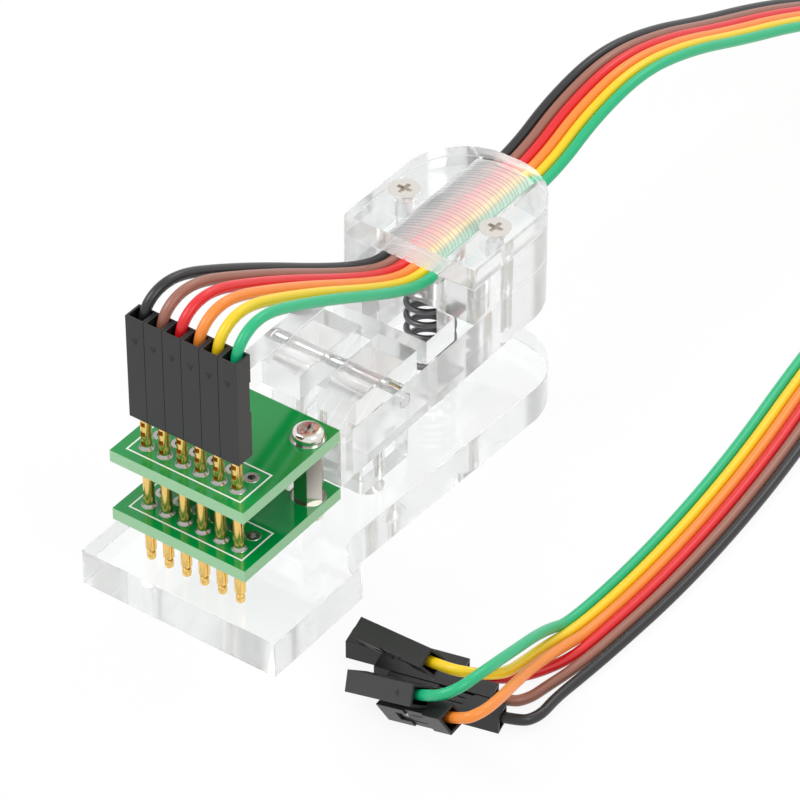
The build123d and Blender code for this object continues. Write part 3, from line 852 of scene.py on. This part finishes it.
@dataclass
class Sockets(Assembly):
    """The black single sockets, on the clip and at the leads' free ends. Sizes are in millimetres."""

    slot: str = "black_nylon"
    width: float = 2.5
    length: float = SOCKET_LENGTH
    cavity: float = 1.9
    edge_break: float = 0.1
    mouth: float = 0.8
    mouth_wall: float = 0.5
    window_width: float = 1.1
    window: tuple[float, float] = (3.6, 6.0)
    tongue: tuple[float, float] = (6.0, 10.2)
    tongue_depth: float = 0.2
    slit: float = 0.12
    slit_lead: float = 0.1
    slit_stop: float = 0.8
    lap: float = 0.2
    past: float = 1.0
    mark: float = 1.0
    mark_from_top: float = 3.7
    mark_proud: float = 0.12
    mark_sunk: float = 0.02
    mark_tall: float = 0.87
    mark_taper: float = 0.5
    terminal: float = 1.62
    terminal_hole: float = 0.74
    terminal_reach: tuple[float, float] = (0.6, TERMINAL_TOP)
    loose: dict[Lead, list[bpy.types.Object]] = field(default_factory=dict)

    def moulding(self) -> bpy.types.Mesh:
        """Mould one socket, its mating end on Z = 0 and its latch toward +Y."""
        half, hole, mouth = self.width / 2, self.cavity / 2, self.mouth / 2
        window = self.window_width / 2
        bm = bmesh.new()
        bmesh.ops.create_cube(
            bm, size=1.0, matrix=Matrix.Translation((0, 0, self.length * MM / 2))
            @ Matrix.Diagonal((self.width * MM, self.width * MM, self.length * MM, 1)),
        )
        block = mesh_from(bm, "socket")
        past = self.past
        slit_from, slit_to = self.tongue[0] - self.slit_lead, self.tongue[1] - self.slit_stop
        cuts = (
            ((-hole, -hole, self.mouth_wall), (hole, hole, self.length + past)),
            ((-mouth, -mouth, -past), (mouth, mouth, self.mouth_wall + self.lap)),
            ((-window, 0, self.window[0]), (window, half + past, self.window[1])),
            (
                (-half - past, half - self.tongue_depth, self.tongue[0]),
                (half + past, half + past, self.tongue[1]),
            ),
            ((-window, 0, slit_from), (-window + self.slit, half + past, slit_to)),
            ((window - self.slit, 0, slit_from), (window, half + past, slit_to)),
        )
        mesh = carve(block, [(Vector(low) * MM, Vector(high) * MM) for low, high in cuts])
        bm = joined_facets(mesh)
        break_edges(bm, self.edge_break)
        self.arrow(bm)
        smooth_but_corners(bm)
        bm.to_mesh(mesh)
        bm.free()
        return flat_faces(mesh)

    def arrow(self, bm: bmesh.types.BMesh) -> None:
        """Mould the small triangle that marks the first way, near the wire end."""
        top = self.length - self.mark_from_top + self.mark
        half, face = self.mark / 2, -self.width / 2
        triangle = ((-half, 0), (half, 0), (0, -self.mark_tall * self.mark))
        rows = []
        for proud, size in ((-self.mark_sunk, 1.0), (self.mark_proud, self.mark_taper)):
            inset = self.mark * (1 - size) / 2
            rows.append([
                bm.verts.new(Vector((x * size, face - proud, top + z * size - inset)) * MM)
                for x, z in triangle
            ])
        faces = [bm.faces.new(rows[1]), *skin(bm, rows, closed=False)]
        bmesh.ops.recalc_face_normals(bm, faces=faces)

    def build(self) -> None:
        """Make every socket from one moulding, and the terminals of the loose ones."""
        moulding = self.moulding()
        for lead in Lead:
            front = Matrix.Translation(Vector((lead.lane * PROBE_PITCH, PROBE_Y, SOCKET_BOTTOM)) * MM)
            seats = (("front", Body.LEVER, front), ("loose", Body.BASE, LOOSE_STANDS[lead].matrix))
            for place, body, stand in seats:
                mesh = moulding.copy()
                mesh.transform(stand)
                piece = new_piece(f"moulded_{place}_socket_{lead.word}", mesh, (NYLON,))
                self.settle(piece, body, self.slot, f"{place}_socket_{lead.word}")
                if place == "loose":
                    self.loose[lead] = [piece, self.terminal_of(lead)]

    def terminal_of(self, lead: Lead) -> bpy.types.Object:
        """Fold the crimp terminal of one lead's loose socket, a square tube."""
        low, high = self.terminal_reach
        place = LOOSE_STANDS[lead].matrix
        outer, inner = self.terminal / 2, self.terminal_hole / 2
        bm = bmesh.new()
        skin(bm, [
            [
                bm.verts.new(place @ (Vector((x * half, y * half, z)) * MM))
                for x, y in ((-1, -1), (1, -1), (1, 1), (-1, 1))
            ]
            for half, z in ((outer, low), (outer, high), (inner, high), (inner, low))
        ])
        bmesh.ops.recalc_face_normals(bm, faces=bm.faces)
        name = f"crimped_terminal_{lead.word}"
        piece = new_piece(name, mesh_from(bm, name), (TIN,))
        return self.settle(piece, Body.BASE, "tinned_bronze", "loose_terminals")


@dataclass
class Ribbon(Assembly):
    """The six leads, held on the clip and free behind it. Places are in millimetres."""

    wire_mm: float = 1.3
    wire_pitch_mm: float = 1.35
    wire_insert: float = 0.8
    wire_rise: float = 1.6
    clamp_front: float = 11.8
    clamp_rear: float = 32.6
    ribbon_z: float = 24.15
    free_length_mm: dict[Lead, float] = field(default_factory=lambda: {
        Lead.BLACK: 286.8, Lead.BROWN: 281.0, Lead.RED: 276.9, Lead.ORANGE: 287.1, Lead.YELLOW: 279.1,
        Lead.GREEN: 281.7,
    })
    bevel_steps: int = 4
    line_steps: int = 10
    corner_degrees: float = 50.0
    same_point: float = 0.001
    route: tuple[tuple[float, float, float], ...] = (
        (0.0, 32.6, 24.15), (0.0, 37.6, 24.4), (0.0, 45.5, 27.3), (0.2, 55.5, 28.6), (0.6, 66.0, 26.1),
        (1.0, 77.5, 21.4), (1.4, 89.5, 17.0), (2.2, 101.0, 12.0), (4.0, 111.5, 6.6), (7.9, 120.6, 2.4),
        (14.4, 127.4, 0.75), (22.4, 128.6, 0.65), (29.4, 123.8, 0.65), (32.8, 114.6, 0.65),
        (33.4, 102.6, 0.65), (32.6, 88.8, 0.65), (32.4, 74.6, 0.65), (33.2, 60.4, 0.65),
        (35.0, 46.2, 0.65), (37.2, 32.2, 0.65), (38.6, 18.4, 0.65), (39.2, 5.0, 0.65), (38.8, -6.6, 0.65),
    )
    ends: dict[Lead, tuple[tuple[float, float, float], ...]] = field(default_factory=lambda: {
        Lead.BLACK: ((41.8, -12.6, 0.65), (41.4, -17.6, 0.7), (41.8, -21.5, 0.95)),
        Lead.BROWN: ((40.3, -12.4, 0.65), (39.5, -16.8, 0.7), (39.2, -19.6, 0.95)),
        Lead.RED: ((38.9, -12.0, 0.65), (36.4, -17.6, 0.95)),
        Lead.ORANGE: (
            (38.3, -12.4, 2.6), (38.9, -18.2, 4.7), (40.2, -23.8, 7.0), (41.5, -28.6, 9.0),
            (41.9, -32.6, 10.0),
        ),
        Lead.YELLOW: ((36.3, -12.6, 2.0), (37.2, -18.4, 4.2), (38.2, -23.4, 6.8), (36.9, -27.5, 9.2)),
        Lead.GREEN: (
            (35.6, -10.2, 2.7), (36.5, -14.6, 5.2), (37.5, -19.4, 7.5), (38.3, -24.0, 9.5),
            (38.9, -28.6, 11.2), (38.3, -32.4, 11.1),
        ),
    })
    blend_start: tuple[float, float, float] = (3.8, 33.0, 24.4)
    blend_end: tuple[float, float, float] = (12.5, 35.1, 7.1)

    def held_route(self, lane: float) -> list[Vector]:
        """Route of a held lead, from its crimp up, back and down through the clamp."""
        high, low = lane * PROBE_PITCH, lane * self.wire_pitch_mm
        top = SOCKET_BOTTOM + SOCKET_LENGTH
        span, fall = self.clamp_front - PROBE_Y, top - self.ribbon_z
        # Each row: how far the lanes have drawn together, from 0 to 1, then the place along Y and Z.
        rows = (
            (0.0, PROBE_Y, SOCKET_BOTTOM + TERMINAL_TOP - self.wire_insert),
            (0.0, PROBE_Y, top - 0.5),
            (0.05, PROBE_Y + 2.4, top + 1.75),
            (0.14, PROBE_Y + 6.4, top + 1.7),
            (0.3, PROBE_Y + 0.313 * span, top - 0.09 * fall),
            (0.5, PROBE_Y + 0.504 * span, top - 0.36 * fall),
            (0.7, PROBE_Y + 0.68 * span, top - 0.63 * fall),
            (0.86, PROBE_Y + 0.84 * span, top - 0.86 * fall),
            (0.97, self.clamp_front - 2.2, self.ribbon_z + 0.35),
            (1.0, self.clamp_front + 1.4, self.ribbon_z),
            (1.0, self.clamp_rear, self.ribbon_z),
        )
        return [Vector((high + (low - high) * drawn, y, z)) * MM for drawn, y, z in rows]

    def free_route(self, lead: Lead) -> list[Vector]:
        """Route of a free lead: its own lane of the ribbon, then its end in its loose socket."""
        middle = [Vector(point) for point in self.route]
        places = []
        for index, point in enumerate(middle):
            heading = middle[min(index + 1, len(middle) - 1)] - middle[max(index - 1, 0)]
            heading.z = 0
            left = Vector((0, 0, 1)).cross(heading.normalized())
            places.append(point - left * lead.lane * self.wire_pitch_mm)
        places += [Vector(point) for point in self.ends[lead]]
        stand = LOOSE_STANDS[lead]
        for reach in (SOCKET_LENGTH + self.wire_rise, TERMINAL_TOP - self.wire_insert):
            places.append(Vector(stand.origin) + stand.along * reach)
        return [place * MM for place in places]

    def tube(self, name: str, route: list[Vector], finish: Finish) -> tuple[bpy.types.Object, list[Vector]]:
        """Sweep the wire's round section along a smooth line.

        Args:
            name: The piece's name.
            route: Control points of the line, in metres.
            finish: The insulation.

        Returns:
            The tube and the points of its middle line.
        """
        curve = bpy.data.curves.new(name, "CURVE")
        curve.dimensions = "3D"
        curve.resolution_u = self.line_steps
        curve.use_fill_caps = True
        spline = curve.splines.new("NURBS")
        spline.points.add(len(route) - 1)
        for point, place in zip(spline.points, route):
            point.co = (*place, 1.0)
        spline.order_u = 3
        spline.use_endpoint_u = True
        line = bpy.data.objects.new(name, curve)
        bpy.context.scene.collection.objects.link(line)
        bpy.context.view_layer.update()
        path = [v.co.copy() for v in bpy.data.meshes.new_from_object(line).vertices]
        curve.bevel_depth = self.wire_mm * MM / 2
        curve.bevel_resolution = self.bevel_steps
        bpy.context.view_layer.update()
        graph = bpy.context.evaluated_depsgraph_get()
        mesh = bpy.data.meshes.new_from_object(line.evaluated_get(graph))
        bpy.data.objects.remove(line)
        bm = bmesh.new()
        bm.from_mesh(mesh)
        bmesh.ops.remove_doubles(bm, verts=bm.verts, dist=self.same_point * MM)
        smooth_but_corners(bm, self.corner_degrees)
        bm.to_mesh(mesh)
        bm.free()
        return new_piece(name, mesh, (finish,)), path

    def build(self, far_ends: dict[Lead, list[bpy.types.Object]]) -> None:
        """Make every lead.

        Args:
            far_ends: The pieces on each lead's free end; not used.
        """
        for lead in Lead:
            finish = insulation(lead)
            held, _ = self.tube(f"held_wire_{lead.word}", self.held_route(lead.lane), finish)
            self.settle(held, Body.LEVER, f"{lead.word}_insulation", f"held_lead_{lead.word}")
            free, path = self.tube(f"free_wire_{lead.word}", self.free_route(lead), finish)
            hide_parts(f"free_lead_{lead.word}")
            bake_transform(free)
            LOG.info("free lead %s: %d points", lead.word, len(path))


@dataclass
class Studio:
    """White floor and backdrop, soft lamps and the camera."""

    eye_m: tuple[float, float, float] = (0.24908, -0.333915, 0.347133)
    azimuth: float = 35.904
    elevation: float = 38.812
    focal_pixels: float = 4616.3
    image_pixels: int = 800
    sensor_mm: float = 36.0
    floor_m: float = 4.0
    floor_drop_mm: float = 0.03
    floor_white: float = 0.9
    paper: str = "#F4F4F4"
    white: str = "#FFFFFF"
    sky: float = 0.7
    bounces: int = 20
    lamps: tuple[tuple[tuple[float, float, float], float, float], ...] = (
        ((-0.35, -0.25, 0.62), 0.34, 2.0),
        ((0.45, -0.05, 0.5), 0.3, 0.9),
        ((0.0, 0.6, 0.55), 0.3, 0.9),
    )
    target_m: tuple[float, float, float] = (0.0, 0.0, 0.015)
    clip_m: tuple[float, float] = (0.01, 10.0)

    def floor(self) -> None:
        """Lay the white floor, which keeps a part of the shadows."""
        half = self.floor_m / 2
        mesh = bpy.data.meshes.new("floor")
        corner_points = [(-half, -half, 0), (half, -half, 0), (half, half, 0), (-half, half, 0)]
        mesh.from_pydata(corner_points, [], [(0, 1, 2, 3)])
        material = bpy.data.materials.new("white_paper_floor")
        material.use_nodes = True
        tree = material.node_tree
        tree.nodes.clear()
        paper = add_node(tree, "ShaderNodeBsdfDiffuse", {"Color": linear(self.paper)})
        glow = add_node(tree, "ShaderNodeEmission", {"Color": linear(self.white), "Strength": 1.0})
        share = add_node(tree, "ShaderNodeMath", {"operation": "MULTIPLY"})
        tree.links.new(seen_directly(tree), share.inputs[0])
        share.inputs[1].default_value = self.floor_white
        surface = mix_shaders(tree, share.outputs[0], paper.outputs[0], glow.outputs[0])
        add_node(tree, "ShaderNodeOutputMaterial", Surface=surface)
        mesh.materials.append(material)
        floor = bpy.data.objects.new("floor", mesh)
        floor.location.z = -self.floor_drop_mm * MM
        bpy.context.scene.collection.objects.link(floor)

    def world(self) -> None:
        """Set the even light of the room, with a white backdrop behind the object."""
        world = bpy.data.worlds.new("studio")
        bpy.context.scene.world = world
        world.use_nodes = True
        tree = world.node_tree
        tree.nodes.clear()
        light, backdrop = (
            add_node(tree, "ShaderNodeBackground", {"Color": linear(self.white), "Strength": strength})
            for strength in (self.sky, 1.0)
        )
        surface = mix_shaders(tree, seen_directly(tree), light.outputs[0], backdrop.outputs[0])
        add_node(tree, "ShaderNodeOutputWorld", Surface=surface)

    def light(self) -> None:
        """Hang the soft lamps."""
        for number, (place, size, watts) in enumerate(self.lamps, start=1):
            data = bpy.data.lights.new(f"softbox_{number}", "AREA")
            data.size = size
            data.energy = watts
            lamp = bpy.data.objects.new(f"softbox_{number}", data)
            lamp.location = place
            lamp.rotation_euler = (Vector(self.target_m) - Vector(place)).to_track_quat("-Z", "Y").to_euler()
            bpy.context.scene.collection.objects.link(lamp)

    def camera(self) -> None:
        """Stand the camera where the photograph was taken from."""
        data = bpy.data.cameras.new("camera")
        data.sensor_width = self.sensor_mm
        data.lens = self.focal_pixels / self.image_pixels * self.sensor_mm
        data.clip_start, data.clip_end = self.clip_m
        camera = bpy.data.objects.new("camera", data)
        camera.location = self.eye_m
        camera.rotation_euler = (math.radians(90 - self.elevation), 0.0, math.radians(self.azimuth))
        bpy.context.scene.collection.objects.link(camera)
        bpy.context.scene.camera = camera

    def build(self) -> None:
        """Set up the studio, with enough bounces for light to leave the clear sheets."""
        scene = bpy.context.scene
        scene.view_settings.view_transform = "Standard"
        scene.cycles.max_bounces = self.bounces
        scene.cycles.glossy_bounces = self.bounces
        scene.cycles.transmission_bounces = self.bounces
        self.floor()
        self.world()
        self.light()
        self.camera()


def main() -> None:
    """Dress the frame, piece by piece."""
    logging.basicConfig(level=logging.INFO, format="%(message)s")
    for thing in list(bpy.data.objects):
        bpy.data.objects.remove(thing)
    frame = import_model()
    Studio().build()
    ClearBody(frame).build()
    BoardPair(frame).build()
    Hardware(frame).build()
    sockets = Sockets(frame)
    sockets.build()
    Ribbon(frame).build(sockets.loose)


if __name__ == "__main__":
    main()
